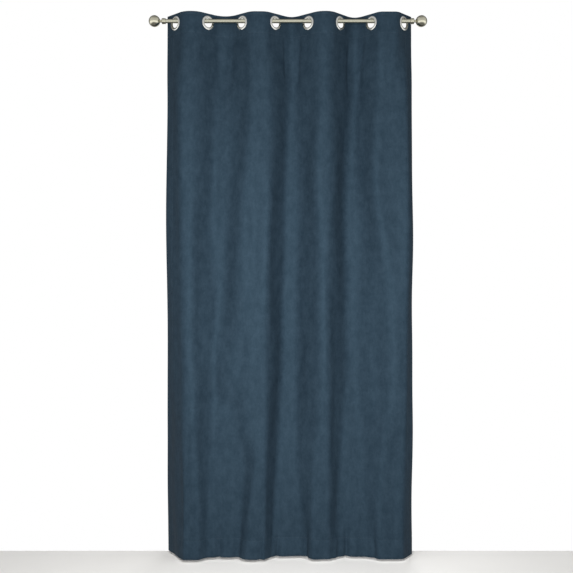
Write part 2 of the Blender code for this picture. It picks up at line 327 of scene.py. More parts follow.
def eyelet_along(index):
    return EYELET_INSET + EYELET_PITCH * index


def side_of(index):
    """-1 where a flank comes forward from left to right, 1 where it goes back."""
    return -1 if index % 2 == 0 else 1


def header_lean():
    """The cloth's lean at each sample: flat at the eyelets, with an even bend between two of them.

    Each fold turns where it must for both its eyelets to lie on the rod.
    """
    leans = [math.radians(lean) for lean in EYELET_LEANS]
    places = [0.0]
    values = [-leans[0]]
    for index, (_, flat_mm, bent_share) in enumerate(HEADER_TURNS):
        lean, after = leans[index], leans[index + 1]
        flat = flat_mm * MM
        free = EYELET_PITCH - 2 * flat
        bent = free * bent_share
        rise = (1 - math.cos(lean)) / lean
        fall = (1 - math.cos(after)) / after
        uneven = flat * (math.sin(after) - math.sin(lean))
        start = eyelet_along(index) + flat
        turn = start + (uneven + bent * fall) / (rise + fall)
        places += [start, turn, turn + free - bent + MM * MM, start + free]
        values += [side_of(index) * lean, 0.0, 0.0, side_of(index + 1) * after]
    return np.interp(ALONG, places + [CLOTH_WIDTH], values + [values[-1]])


def walk(lean, steps):
    """X and Y of a line, from its lean at each sample and the length of each step."""
    middle = (lean[1:] + lean[:-1]) / 2
    x = np.concatenate([[0.0], np.cumsum(np.cos(middle) * steps)])
    y = np.concatenate([[0.0], np.cumsum(np.sin(middle) * steps)])
    return x, y


HEADER_LEAN = header_lean()
HEADER_SPAN = walk(HEADER_LEAN, np.diff(ALONG))[0][-1]


def span(down):
    """How wide the cloth hangs, a little wider towards the foot."""
    return HEADER_SPAN + FOOT_SPREAD * ease((down - HEADER_DEPTH) / (CLOTH_DROP - HEADER_DEPTH))


def at_height(values, down):
    """One of a table's values, on a smooth curve through its heights."""
    place = np.interp(down, HEIGHTS, range(len(HEIGHTS)))
    above = min(int(place), len(HEIGHTS) - 2)
    share = place - above
    slopes = np.gradient(values, HEIGHTS) * (HEIGHTS[above + 1] - HEIGHTS[above])
    bend = share * (1 - share) * ((1 - share) * slopes[above] - share * slopes[above + 1])
    return values[above] + (values[above + 1] - values[above]) * ease(share) + bend


def flank_bump(spread):
    """How much of its lean a flank has, from its middle to where it turns."""
    ramp = np.clip((np.abs(spread) - FLANK_STRAIGHT) / (1 - FLANK_STRAIGHT), 0, 1)
    return (1 + np.cos(math.pi * ramp)) / 2


def body_lean(down):
    """The cloth's lean at each sample at one height under the header, from the tables of folds."""
    width = span(down)
    x = np.linspace(-width / 2, width / 2, SAMPLES)
    behind = at_height(RIGHT_EDGE_BEHIND, down) * MM
    stretch = at_height(TROUGH_STRETCH, down)

    def leans_at(width_share):
        lean = np.zeros(len(x))
        for index, (_, middles, leans, widths) in enumerate(FLANKS):
            place = at_height(middles, down) * MM - CLOTH_CENTRE
            reach = at_height(widths, down) * MM * width_share / 2 / HALF_LEAN_AT
            into_trough = (x - place) * side_of(index)
            bump = flank_bump(into_trough / reach / np.where(into_trough > 0, stretch, 1))
            if index in (0, len(FLANKS) - 1):
                # An end flank runs on straight from its middle to the side edge
                bump[into_trough > 0] = 1
            lean += side_of(index) * math.radians(at_height(leans, down)) * bump
        tilt = crossing(
            lambda tilt: np.tan(lean + tilt).mean() * width - behind, -MOST_TILT, MOST_TILT
        )
        return lean + tilt

    def steps_of(lean):
        return np.diff(x) / np.cos((lean[1:] + lean[:-1]) / 2)

    share = crossing(lambda part: steps_of(leans_at(part)).sum() - CLOTH_WIDTH, 0.5, 1.8)
    lean = leans_at(share)
    along = np.concatenate([[0.0], np.cumsum(steps_of(lean))])
    return np.interp(ALONG, along, lean)


def section(down):
    """X, Y and lean of the cloth's middle layer at each sample, at one height."""
    steps = np.diff(ALONG)
    lean = HEADER_LEAN
    if down > HEADER_DEPTH + HEM_STEP:
        share = ease((down - HEADER_DEPTH) / (SETTLES_AT - HEADER_DEPTH))
        mixed = HEADER_LEAN * (1 - share) + body_lean(max(down, HEIGHTS[0])) * share
        factor = crossing(lambda part: span(down) - walk(mixed * part, steps)[0][-1], 0.7, 1.3)
        lean = mixed * factor
    x, y = walk(lean, steps)
    x += CLOTH_CENTRE - x[-1] / 2
    header_y = walk(HEADER_LEAN, steps)[1]
    on_rod = header_y - np.interp(eyelet_along(0), ALONG, header_y)
    y += on_rod.mean() - y.mean()
    return x, y, lean


def eyelet_drop(lean):
    """How far an eyelet's centre hangs under the rod's axis: its lip touches the rod obliquely."""
    clear = ROD_R + RING_LIP_R + RING_GAP + 0.2 * MM
    level = math.cos(lean) ** 2
    steep = math.sin(lean) ** 2
    oblique = math.sqrt(level * (RING_LIP_CENTRE_R**2 - clear**2 / steep))
    return min(oblique, RING_LIP_CENTRE_R - clear)


EYELET_DROPS = [eyelet_drop(math.radians(lean)) for lean in EYELET_LEANS]


def top_edge(along):
    """Height of the top edge: level over each eyelet, and eased from one to the next."""
    place = (along - EYELET_INSET) / EYELET_PITCH
    left = np.clip(np.floor(place).astype(int), 0, EYELETS - 2)
    flat = FLAT_AT_EYELET / EYELET_PITCH
    share = ease((place - left - flat) / (1 - 2 * flat))
    drops = np.array(EYELET_DROPS)
    return EYELET_DOWN - drops[left] - (drops[left + 1] - drops[left]) * share


def eyelet_frame(index):
    """Places a ring turned about local Z: local X along the cloth, local Z towards the room."""
    x, y, lean = section(0.0)
    along = eyelet_along(index)
    lean_here = np.interp(along, ALONG, lean)
    cos, sin = math.cos(lean_here), math.sin(lean_here)
    centre = (np.interp(along, ALONG, x), np.interp(along, ALONG, y), -EYELET_DROPS[index])
    return Matrix(
        (
            (cos, 0, sin, centre[0]),
            (sin, 0, -cos, centre[1]),
            (0, 1, 0, centre[2]),
            (0, 0, 0, 1),
        )
    )


def waves(along, down):
    """Soft unevenness of a few mm, none in the stiff header."""
    draws = np.random.default_rng(WAVE_SEED)
    total = np.zeros_like(along)
    for _ in range(WAVES):
        across = draws.uniform(*WAVE_ACROSS)
        deep = draws.uniform(*WAVE_DOWN) * draws.choice((-1, 1))
        phase = draws.uniform(0, math.tau)
        total += np.cos(math.tau * (along / across + down / deep) + phase)
    fade = ease((down - WAVES_START) / (WAVES_FULL - WAVES_START))
    return total * fade * WAVE_HEIGHT / math.sqrt(WAVES / 2)


def creases(along, down):
    """The small creases of the table, each a soft trough or ridge on a slanting line."""
    total = np.zeros_like(along)
    for _, (start, start_down), (end, end_down), width, height in CREASES:
        share = (down - start_down) / (end_down - start_down)
        line = start + (end - start) * share
        fade = ease((down - start_down) / CREASE_FADE) * ease((end_down - down) / CREASE_FADE)
        if end_down > CLOTH_DROP:
            fade = ease((down - start_down) / (end_down - start_down))
        total += height * MM * fade * np.exp(-(((along - line) / (width * MM / 2)) ** 2))
    return total


def from_seam(along, down):
    """How far a point lies from the nearest line of stitches."""
    lines = [
        np.abs(down - TOP_STITCH_DOWN),
        np.abs(down - HEADER_DEPTH),
        np.abs(down - (CLOTH_DROP - FOOT_HEM_DEPTH)),
        np.abs(along - SIDE_HEM_DEPTH),
        np.abs(along - (CLOTH_WIDTH - SIDE_HEM_DEPTH)),
    ]
    return np.minimum.reduce(lines)


def wander(place, parts):
    return sum(height * np.sin(place * turns + start) for height, turns, start in parts)


def puckers(along, down):
    """The faint gathers that a line of stitches leaves beside it."""
    total = np.zeros_like(along)
    for line in (HEADER_DEPTH, CLOTH_DROP - FOOT_HEM_DEPTH):
        near = np.exp(-(((down - line) / PUCKER_REACH) ** 2))
        uneven = wander(along, LEVEL_WANDER)
        total += near * np.sin(math.tau * along / PUCKER_ACROSS + uneven)
    for line in (SIDE_HEM_DEPTH, CLOTH_WIDTH - SIDE_HEM_DEPTH):
        near = np.exp(-(((along - line) / PUCKER_REACH) ** 2))
        uneven = wander(down, SIDE_WANDER)
        fade = ease((down - HEADER_DEPTH) / PUCKERS_START)
        total += near * fade * np.sin(math.tau * down / (3 * PUCKER_ACROSS) + uneven)
    return total * PUCKER_HEIGHT


def thickness(along, down):
    """Half the cloth's thickness in front of its middle layer, and half behind it."""
    from_side = np.minimum(along, CLOTH_WIDTH - along)
    from_end = np.minimum(down, CLOTH_DROP - down)
    step = HEM_STEP * 2
    hemmed = np.maximum.reduce(
        [
            1 - ease((down - HEADER_DEPTH) / step),
            1 - ease((CLOTH_DROP - FOOT_HEM_DEPTH - down) / step),
            1 - ease((from_side - SIDE_HEM_DEPTH) / step),
        ]
    )
    furrow = FURROW_DEEP * np.exp(-((from_seam(along, down) / (FURROW_HALF / 2)) ** 2))
    extra = (HEMMED_THICK - CLOTH_THICK) * hemmed
    edge = np.clip(np.minimum(from_side, from_end) / EDGE_ROUND, 0, 1)
    rounding = np.sqrt(1 - (1 - edge) ** 2)
    front = (CLOTH_THICK / 2 + extra * HEM_IN_FRONT - furrow) * rounding
    back = (CLOTH_THICK / 2 + extra * (1 - HEM_IN_FRONT) - furrow / 2) * rounding
    return front, back


def spaced(start, end, step):
    """Even places from start up to end, and not end itself."""
    count = max(1, round((end - start) / step))
    return list(np.linspace(start, end, count + 1)[:-1])


def seam_places(place):
    """Places on and beside a line of stitches, so that its furrow has a shape."""
    return [place - FURROW_HALF / 2, place, place + FURROW_HALF / 2]


def sorted_places(places, end):
    """The places in order, without those that lie too close to the one before."""
    kept = []
    for place in sorted(places):
        if not kept or place - kept[-1] > LEAST_STEP:
            kept.append(place)
    if end - kept[-1] < LEAST_STEP:
        kept.pop()
    return np.array(kept + [end])


def cloth_columns():
    places = [0.0, *EDGE_PLACES] + [CLOTH_WIDTH - edge for edge in EDGE_PLACES]
    places += spaced(EDGE_ROUND + COLUMN_STEP / 2, CLOTH_WIDTH - EDGE_ROUND, COLUMN_STEP)
    for line in (SIDE_HEM_DEPTH, CLOTH_WIDTH - SIDE_HEM_DEPTH):
        places = [place for place in places if abs(place - line) > FURROW_HALF] + seam_places(line)
    return sorted_places(places, CLOTH_WIDTH)


def cloth_rows():
    foot = CLOTH_DROP - FOOT_HEM_DEPTH
    places = [0.0, *EDGE_PLACES] + [CLOTH_DROP - edge for edge in EDGE_PLACES]
    places += spaced(EDGE_ROUND + HEAD_ROW_STEP / 2, HEADER_DEPTH, HEAD_ROW_STEP)
    places += spaced(HEADER_DEPTH, SETTLES_AT, SETTLING_ROW_STEP)
    places += spaced(SETTLES_AT, HEIGHTS[2], BODY_ROW_STEP)
    places += spaced(HEIGHTS[2], CLOTH_DROP - EDGE_ROUND, FOOT_ROW_STEP)
    for line in (TOP_STITCH_DOWN, HEADER_DEPTH, foot):
        places = [place for place in places if abs(place - line) > FURROW_HALF] + seam_places(line)
    return sorted_places(places, CLOTH_DROP)


class Cloth:
    """The hung cloth as a grid of points with their normals, and its flat coordinates."""

    def __init__(self):
        self.rows, self.columns = cloth_rows(), cloth_columns()
        self.along, self.down = np.meshgrid(self.columns, self.rows)
        self.kept = np.ones((len(self.rows) - 1, len(self.columns) - 1), bool)
        self.cut_holes()
        self.points = self.hang()
        self.normals = self.facing()

    def cut_holes(self):
        """Drops the faces inside each eyelet, and draws their rim to a round edge under the ring."""
        for index in range(EYELETS):
            off = self.along - eyelet_along(index)
            under = self.down - EYELET_DOWN
            away = np.hypot(off, under)
            inside = away < HOLE_CUT_R
            gone = inside[:-1, :-1] | inside[1:, :-1] | inside[:-1, 1:] | inside[1:, 1:]
            self.kept &= ~gone
            near = np.zeros(away.shape, bool)
            for rows in (slice(0, -1), slice(1, None)):
                for columns in (slice(0, -1), slice(1, None)):
                    near[rows, columns] |= gone
            rim = near & ~inside
            self.along[rim] = eyelet_along(index) + (off * HOLE_EDGE_R / away)[rim]
            self.down[rim] = EYELET_DOWN + (under * HOLE_EDGE_R / away)[rim]

    def hang(self):
        points = np.empty(self.along.shape + (3,))
        for row, down in enumerate(self.rows):
            x, y, lean = section(down)
            along = self.along[row]
            out = waves(along, self.down[row]) + creases(along, self.down[row])
            out += puckers(along, self.down[row])
            lean_here = np.interp(along, ALONG, lean)
            points[row, :, 0] = np.interp(along, ALONG, x) + np.sin(lean_here) * out
            points[row, :, 1] = np.interp(along, ALONG, y) - np.cos(lean_here) * out
            points[row, :, 2] = top_edge(along) - self.down[row]
        return points

    def facing(self):
        """The normal at each point, towards the room."""
        across = np.gradient(self.points, axis=1)
        downward = np.gradient(self.points, axis=0)
        normals = np.cross(downward, across)
        return normals / np.linalg.norm(normals, axis=2, keepdims=True)

    def rim(self):
        """Which points lie on the cloth's outer edge or a hole's edge, where its two faces meet."""
        faces = np.pad(self.kept.astype(int), 1)
        around = faces[:-1, :-1] + faces[1:, :-1] + faces[:-1, 1:] + faces[1:, 1:]
        return (around > 0) & (around < 4), around > 0

    def lay(self, along, down, lift):
        """A point on the cloth's front, or on its back where the lift is a minus, and the way out."""
        row = np.interp(down, self.rows, range(len(self.rows)))
        column = np.interp(along, self.columns, range(len(self.columns)))
        top, left = min(int(row), len(self.rows) - 2), min(int(column), len(self.columns) - 2)
        lower, right = row - top, column - left
        weights = (
            ((1 - lower) * (1 - right), top, left),
            (lower * (1 - right), top + 1, left),
            ((1 - lower) * right, top, left + 1),
            (lower * right, top + 1, left + 1),
        )
        point = sum(weight * self.points[i, j] for weight, i, j in weights)
        normal = sum(weight * self.normals[i, j] for weight, i, j in weights)
        front, back = thickness(np.array(along), np.array(down))
        out = float(front) + lift if lift > 0 else -float(back) + lift
        return point + normal * out, normal * (1 if lift > 0 else -1)


def new_object(name, mesh):
    made = bpy.data.objects.new(name, mesh)
    bpy.context.scene.collection.objects.link(made)
    return made


def named_vectors(mesh, name, vectors):
    layer = mesh.attributes.new(name, "FLOAT_VECTOR", "POINT")
    layer.data.foreach_set("vector", np.array(vectors, np.float32).ravel())


def make_curtain(cloth, finish):
    """One closed sheet: a front, a back, and one rounded edge that they share."""
    rim, used = cloth.rim()
    front_half, back_half = thickness(cloth.along, cloth.down)
    inner = used & ~rim
    front_index = np.full(used.shape, -1)
    front_index[used] = range(used.sum())
    back_index = front_index.copy()
    back_index[inner] = used.sum() + np.arange(inner.sum())
    on_rim = rim[used][:, None]
    front = cloth.points[used] + cloth.normals[used] * front_half[used][:, None] * ~on_rim
    back = cloth.points[inner] - cloth.normals[inner] * back_half[inner][:, None]
    faces = []
    for index, turned_round in ((front_index, False), (back_index, True)):
        quads = np.stack([index[:-1, :-1], index[1:, :-1], index[1:, 1:], index[:-1, 1:]], axis=2)
        quads = quads[cloth.kept]
        faces.append(quads[:, ::-1] if turned_round else quads)
    points = [tuple(point) for point in np.concatenate([front, back])]
    mesh = bpy.data.meshes.new("curtain_cloth_panel")
    mesh.from_pydata(points, [], [tuple(face) for face in np.concatenate(faces)])
    mesh.shade_smooth()
    mesh.materials.append(finish)
    flat = np.stack([cloth.along, cloth.down, np.zeros_like(cloth.down)], axis=2)
    behind = flat[inner] + (0, 0, 1)
    named_vectors(mesh, "cloth_flat", np.concatenate([flat[used], behind]))
    return new_object("curtain_cloth_panel", mesh)


def turned(name, profile, sides, closed, finish):
    """A solid turned about Z from (radius, height) points."""
    bm = bmesh.new()
    points = [bm.verts.new((radius, 0, height)) for radius, height in profile]
    pairs = list(zip(points, points[1:]))
    if closed:
        pairs.append((points[-1], points[0]))
    edges = [bm.edges.new(pair) for pair in pairs]
    bmesh.ops.spin(
        bm, geom=points + edges, axis=(0, 0, 1), angle=math.tau, steps=sides, use_merge=True
    )
    bmesh.ops.remove_doubles(bm, verts=bm.verts, dist=SAME_POINT)
    bmesh.ops.recalc_face_normals(bm, faces=bm.faces)
    mesh = bpy.data.meshes.new(name)
    bm.to_mesh(mesh)
    bm.free()
    mesh.shade_smooth()
    mesh.set_sharp_from_angle(angle=math.radians(SHARP_FROM))
    mesh.materials.append(finish)
    return new_object(name, mesh)


def arc(centre, radius, start, end, count):
    """Points (radius, height) round part of a circle, from start to end in degrees."""
    angles = np.radians(np.linspace(start, end, count))
    return [(centre[0] + radius * math.cos(a), centre[1] + radius * math.sin(a)) for a in angles]


def ring_profile():
    """Round a snapped pair of eyelet rings: rolled lip, domed face that falls to its rim, grip groove."""
    groove = HEMMED_THICK / 2 + RING_GROOVE_GAP
    half = [(radius * MM, height * MM) for radius, height in RING_DOME]
    half += [(RING_OUTER_R - RING_GROOVE_FLOOR, groove), (RING_BARREL_R, groove)]
    other = [(radius, -height) for radius, height in reversed(half)]
    lip = arc((RING_LIP_CENTRE_R, 0.0), RING_LIP_R, 225, 135, 7)
    return half + other + lip


def finial_profile():
    """(radius, distance along the rod) from the sleeve's blind end, out over the ball, to its tip."""
    bore = ROD_R + SLEEVE_GAP
    sleeve_end = ROD_LENGTH / 2 + SLEEVE_GAP
    shoulder = (COLLAR_R - COLLAR_SHOULDER, COLLAR_END - COLLAR_SHOULDER - COLLAR_LIP)
    points = [(0, sleeve_end), (bore, sleeve_end), (bore, COLLAR_START)]
    points += arc((COLLAR_R - COLLAR_BEAD, COLLAR_START + COLLAR_BEAD), COLLAR_BEAD, -90, 30, 6)
    points += [(COLLAR_R - inward * MM, COLLAR_START + along * MM) for inward, along in COLLAR_FACE]
    points += arc(shoulder, COLLAR_SHOULDER, 20, 80, 6)
    points += [(NECK_R + outward * MM, COLLAR_END + along * MM) for outward, along in NECK_FOOT]
    ball_start = math.acos(NECK_R / BALL_R)
    for angle in np.linspace(-ball_start, math.pi / 2, BALL_POINTS):
        points.append((BALL_R * math.cos(angle), BALL_OUT + BALL_R * math.sin(angle)))
    points[-1] = (0, BALL_OUT + BALL_R)
    return points


def rod_profile():
    """(radius, distance along the rod) of the rod, its ends lightly rounded."""
    half = ROD_LENGTH / 2
    soft = ROD_END_ROUND
    points = [(0, -half)]
    points += arc((ROD_R - soft, -half + soft), soft, -90, 0, 4)
    points += [(ROD_R, place) for place in np.linspace(-half, half, ROD_RINGS)[1:-1]]
    points += arc((ROD_R - soft, half - soft), soft, 0, 90, 4)
    return points + [(0, half)]


class Wired:
    """A socket of a node tree. Sums and products of these, and of numbers, add Math nodes."""

    def __init__(self, tree, socket):
        self.tree = tree
        self.socket = socket

    def node(self, kind, settings=None, values=None, output=0):
        """Adds any node: its type, its settings, and the values or links of its sockets."""
        made = self.tree.nodes.new(kind)
        for name, value in (settings or {}).items():
            if name == "stops":
                fill_ramp(made.color_ramp, value)
            else:
                setattr(made, name, value)
        for name, value in (values or {}).items():
            if isinstance(value, Wired):
                self.tree.links.new(value.socket, made.inputs[name])
            else:
                made.inputs[name].default_value = value
        return Wired(self.tree, made.outputs[output])

    def math(self, operation, first, second):
        return self.node("ShaderNodeMath", {"operation": operation}, {0: first, 1: second})

    def __add__(self, other):
        return self.math("ADD", self, other)

    def __radd__(self, other):
        return self.math("ADD", other, self)

    def __sub__(self, other):
        return self.math("SUBTRACT", self, other)

    def __rsub__(self, other):
        return self.math("SUBTRACT", other, self)

    def __mul__(self, other):
        return self.math("MULTIPLY", self, other)

    def __rmul__(self, other):
        return self.math("MULTIPLY", other, self)

    def __truediv__(self, other):
        return self.math("DIVIDE", self, other)


def fill_ramp(ramp, stops):
    """Sets a ramp's stops, given as (place, grey)."""
    while len(ramp.elements) > 1:
        ramp.elements.remove(ramp.elements[-1])
    for index, (place, grey) in enumerate(stops):
        stop = ramp.elements[0] if index == 0 else ramp.elements.new(place)
        stop.position = place
        stop.color = (grey, grey, grey, 1)


class Finish:
    """A material being made, with its shader's sockets set by name."""

    def __init__(self, name, **constants):
        self.material = bpy.data.materials.new(name)
        self.material.use_nodes = True
        self.tree = self.material.node_tree
        self.shader = self.tree.nodes["Principled BSDF"]
        self.any = Wired(self.tree, self.shader.outputs[0])
        for socket, value in constants.items():
            self.shader.inputs[socket.replace("_", " ")].default_value = value

    def attribute(self, name):
        return self.any.node("ShaderNodeAttribute", {"attribute_name": name}, output="Vector")

    def object_place(self):
        return self.any.node("ShaderNodeTexCoord", output="Object")

    def stretched(self, place, scale):
        return self.any.node("ShaderNodeVectorMath", {"operation": "MULTIPLY"}, {0: place, 1: scale})

    def noise(self, place, scale, detail=3.0, roughness=0.55):
        values = {"Vector": place, "Scale": scale, "Detail": detail, "Roughness": roughness}
        return self.any.node("ShaderNodeTexNoise", {"noise_dimensions": "3D"}, values)

    def part(self, place, axis):
        return self.any.node("ShaderNodeSeparateXYZ", values={"Vector": place}, output=axis)

    def blended(self, factor, first, second):
        """Two colours mixed by a factor."""
        made = self.tree.nodes.new("ShaderNodeMix")
        made.data_type = "RGBA"
        for socket, value in (("Factor_Float", factor), ("A_Color", first), ("B_Color", second)):
            target = next(s for s in made.inputs if s.identifier == socket)
            if isinstance(value, Wired):
                self.tree.links.new(value.socket, target)
            else:
                target.default_value = value
        return Wired(self.tree, next(s for s in made.outputs if s.identifier == "Result_Color"))

    def feed(self, socket, value):
        self.tree.links.new(value.socket, self.shader.inputs[socket])

    def bumped(self, height, strength, distance):
        values = {"Height": height, "Strength": strength, "Distance": distance}
        self.feed("Normal", self.any.node("ShaderNodeBump", values=values))


def colour(red, green, blue):
    return (red, green, blue, 1.0)


def curtain_suede():
    """Matt petrol-blue pile: mottled where it was brushed, streaked down the drop, furry close to."""
    finish = Finish("curtain_suede", Sheen_Weight=0.015, Sheen_Roughness=0.45, Specular_IOR_Level=0.19)
    finish.shader.inputs["Sheen Tint"].default_value = colour(0.62, 0.72, 0.82)
    finish.shader.inputs["Specular Tint"].default_value = colour(0.42, 0.74, 1.0)
    flat = finish.attribute("cloth_flat")
    back = finish.part(flat, "Z")
    mottle = finish.noise(finish.stretched(flat, (1.0, 0.62, 1.0)), 27.0, 5.0, 0.70)
    streak = finish.noise(finish.stretched(flat, (1.0, 0.10, 1.0)), 74.0, 2.0, 0.5)
    nap = finish.noise(finish.stretched(flat, (1.0, 0.7, 1.0)), 120.0, 3.0, 0.6)
    tone = (mottle - 0.5) * 3.1 + (streak - 0.5) * 0.5 + (nap - 0.5) * 1.3 + 0.5
    face = finish.blended(tone, colour(0.0200, 0.0375, 0.0570), colour(0.0330, 0.0580, 0.0850))
    lining = finish.blended(nap, colour(0.050, 0.078, 0.104), colour(0.058, 0.088, 0.116))
    finish.feed("Base Color", finish.blended(back, face, lining))
    finish.feed("Roughness", 0.60 + (mottle - 0.5) * 0.10)
    pile = finish.noise(flat, 1500.0, 2.0, 0.6)
    finish.bumped(pile * 0.6 + nap * 0.9 + mottle * 0.5, 0.35, 0.0006)
    return finish.material


def stitching_thread():
    """Matt thread of about the cloth's own tone, twisted along its length."""
    finish = Finish("stitching_thread", Roughness=0.62, Sheen_Weight=0.1)
    place = finish.object_place()
    shade = finish.noise(place, 900.0, 2.0)
    dyed = finish.blended(shade, colour(0.028, 0.050, 0.074), colour(0.046, 0.076, 0.104))
    finish.feed("Base Color", dyed)
    twist = finish.noise(finish.stretched(place, (1.0, 1.0, 0.6)), 2600.0, 1.0)
    finish.bumped(twist, 0.4, 0.0001)
    return finish.material


def satin_metal(name, dark, light, stretch, smooth):
    """Brushed metal: fine lines drawn along the stretch, with a little unevenness in its gloss."""
    finish = Finish(name, Metallic=1.0)
    place = finish.object_place()
    lines = finish.noise(finish.stretched(place, stretch), 700.0, 2.0, 0.6)
    cloudy = finish.noise(place, 45.0, 3.0, 0.6)
    finish.feed("Base Color", finish.blended(cloudy * 0.6 + lines * 0.4, dark, light))
    finish.feed("Roughness", smooth + (lines - 0.5) * 0.12 + (cloudy - 0.5) * 0.08)
    finish.bumped(lines, 0.12, 0.0002)
    return finish.material


def pale_floor():
    finish = Finish("pale_floor", Roughness=0.7)
    cloudy = finish.noise(finish.object_place(), 2.2, 3.0)
    finish.feed("Base Color", finish.blended(cloudy, colour(0.66, 0.655, 0.64), colour(0.72, 0.715, 0.70)))
    return finish.material


class Tree:
    """A geometry tree being made, with its inputs named."""

    def __init__(self, name, inputs):
        self.group = bpy.data.node_groups.new(name, "GeometryNodeTree")
        interface = self.group.interface
        interface.new_socket("Geometry", in_out="INPUT", socket_type="NodeSocketGeometry")
        interface.new_socket("Geometry", in_out="OUTPUT", socket_type="NodeSocketGeometry")
        self.identifiers = {}
        for label, kind in inputs.items():
            made = interface.new_socket(label, in_out="INPUT", socket_type=kind)
            self.identifiers[label] = made.identifier
        entry = self.group.nodes.new("NodeGroupInput")
        self.inputs = {socket.name: Wired(self.group, socket) for socket in entry.outputs if socket.name}
        self.any = Wired(self.group, entry.outputs[0])

    def end(self, geometry, finish):
        """Makes the instances real, gives them their material, and ends the tree."""
        real = self.any.node("GeometryNodeRealizeInstances", values={"Geometry": geometry})
        dressed = self.any.node("GeometryNodeSetMaterial", values={"Geometry": real, "Material": finish})
        leave = self.group.nodes.new("NodeGroupOutput")
        self.group.links.new(dressed.socket, leave.inputs[0])

    def grown_on(self, carrier, name, settings):
        """The tree's result on a carrier mesh, as a plain mesh of its own."""
        modifier = carrier.modifiers.new(self.group.name, "NODES")
        modifier.node_group = self.group
        for label, value in settings.items():
            modifier[self.identifiers[label]] = value
        graph = bpy.context.evaluated_depsgraph_get()
        mesh = bpy.data.meshes.new_from_object(carrier.evaluated_get(graph))
        mesh.name = name
        made = new_object(name, mesh)
        carrier.modifiers.remove(modifier)
        bpy.data.objects.remove(carrier, do_unlink=True)
        return made


def turned_to(tree, along, outward):
    """A rotation that takes X along a line and Z out from the surface."""
    first = tree.any.node(
        "FunctionNodeAlignRotationToVector", {"axis": "X", "pivot_axis": "AUTO"}, {"Vector": along}
    )
    return tree.any.node(
        "FunctionNodeAlignRotationToVector",
        {"axis": "Z", "pivot_axis": "X"},
        {"Rotation": first, "Vector": outward},
    )


def stitch_tree():
    """Runs a row of short stitches along each line of the carrier."""
    inputs = {
        "Stitch spacing": "NodeSocketFloat",
        "Stitch length": "NodeSocketFloat",
        "Thread radius": "NodeSocketFloat",
        "Thread": "NodeSocketMaterial",
    }
    tree = Tree("stitches along a seam", inputs)
    given = tree.inputs
    lines = tree.any.node("GeometryNodeMeshToCurve", values={"Mesh": given["Geometry"]})
    places = tree.any.node(
        "GeometryNodeResampleCurve",
        {"mode": "LENGTH"},
        {"Curve": lines, "Length": given["Stitch spacing"]},
    )
    bead = tree.any.node("GeometryNodeMeshUVSphere", values={"Segments": 6, "Rings": 4, "Radius": 1.0})
    size = tree.any.node(
        "ShaderNodeCombineXYZ",
        values={
            "X": given["Stitch length"] / 2,
            "Y": given["Thread radius"],
            "Z": given["Thread radius"],
        },
    )
    outward = tree.any.node(
        "GeometryNodeInputNamedAttribute", {"data_type": "FLOAT_VECTOR"}, {"Name": "outward"}
    )
    along = tree.any.node("GeometryNodeInputTangent")
    stitches = tree.any.node(
        "GeometryNodeInstanceOnPoints",
        values={
            "Points": places,
            "Instance": bead,
            "Rotation": turned_to(tree, along, outward),
            "Scale": size,
        },
    )
    tree.end(stitches, given["Thread"])
    return tree


def seam_lines():
    """Where the lines of stitches run, each as places across and down the cloth."""
    level = np.arange(STITCH_FROM_EDGE, CLOTH_WIDTH - STITCH_TO_EDGE, STITCH_STEP)
    below = np.arange(EYELET_DOWN + STITCH_FROM_RING, CLOTH_DROP - STITCH_FROM_EDGE, STITCH_STEP * 2)
    downs = (TOP_STITCH_DOWN, HEADER_DEPTH, CLOTH_DROP - FOOT_HEM_DEPTH)
    lines = [[(place, down) for place in level] for down in downs]
    for line in (SIDE_HEM_DEPTH, CLOTH_WIDTH - SIDE_HEM_DEPTH):
        lines.append([(line, down) for down in below])
    return lines


def make_stitches(cloth, tree, name, lift, thread):
    points, normals, edges = [], [], []
    for line in seam_lines():
        first = len(points)
        for along, down in line:
            covered = min(
                math.hypot(along - eyelet_along(index), down - EYELET_DOWN) for index in range(EYELETS)
            )
            if covered < STITCH_FROM_RING:
                first = len(points)
                continue
            point, normal = cloth.lay(along, down, lift)
            points.append(point)
            normals.append(normal)
            if len(points) - 1 > first:
                edges.append((len(points) - 2, len(points) - 1))
    mesh = bpy.data.meshes.new(name + "_lines")
    mesh.from_pydata([tuple(point) for point in points], edges, [])
    named_vectors(mesh, "outward", normals)
    carrier = new_object(name + "_lines", mesh)
    settings = {
        "Stitch spacing": STITCH_SPACING,
        "Stitch length": STITCH_LENGTH,
        "Thread radius": THREAD_R,
        "Thread": thread,
    }
    made = tree.grown_on(carrier, name, settings)
    made.data.shade_smooth()
    return made


def ring_tree():
    """Sets one eyelet ring at each point of the carrier."""
    tree = Tree("rings in a header", {"Ring": "NodeSocketObject", "Metal": "NodeSocketMaterial"})
    given = tree.inputs
    ring = tree.any.node("GeometryNodeObjectInfo", values={"Object": given["Ring"]}, output="Geometry")
    across, outward = (
        tree.any.node("GeometryNodeInputNamedAttribute", {"data_type": "FLOAT_VECTOR"}, {"Name": name})
        for name in ("across", "outward")
    )
    rings = tree.any.node(
        "GeometryNodeInstanceOnPoints",
        values={
            "Points": given["Geometry"],
            "Instance": ring,
            "Rotation": turned_to(tree, across, outward),
        },
    )
    tree.end(rings, given["Metal"])
    return tree


def make_rings(metal):
    ring = turned("one_ring", ring_profile(), RING_SIDES, True, metal)
    frames = [eyelet_frame(index) for index in range(EYELETS)]
    mesh = bpy.data.meshes.new("ring_places")
    mesh.from_pydata([tuple(place.translation) for place in frames], [], [])
    named_vectors(mesh, "across", [place.col[0][:3] for place in frames])
    named_vectors(mesh, "outward", [place.col[2][:3] for place in frames])
    carrier = new_object("ring_places", mesh)
    made = ring_tree().grown_on(carrier, "eyelet_rings", {"Ring": ring, "Metal": metal})
    bpy.data.objects.remove(ring, do_unlink=True)
    return made


def laid_along_rod(made, quarter):
    made.data.transform(Matrix.Rotation(quarter * math.pi / 2, 4, "Y"))
    return made


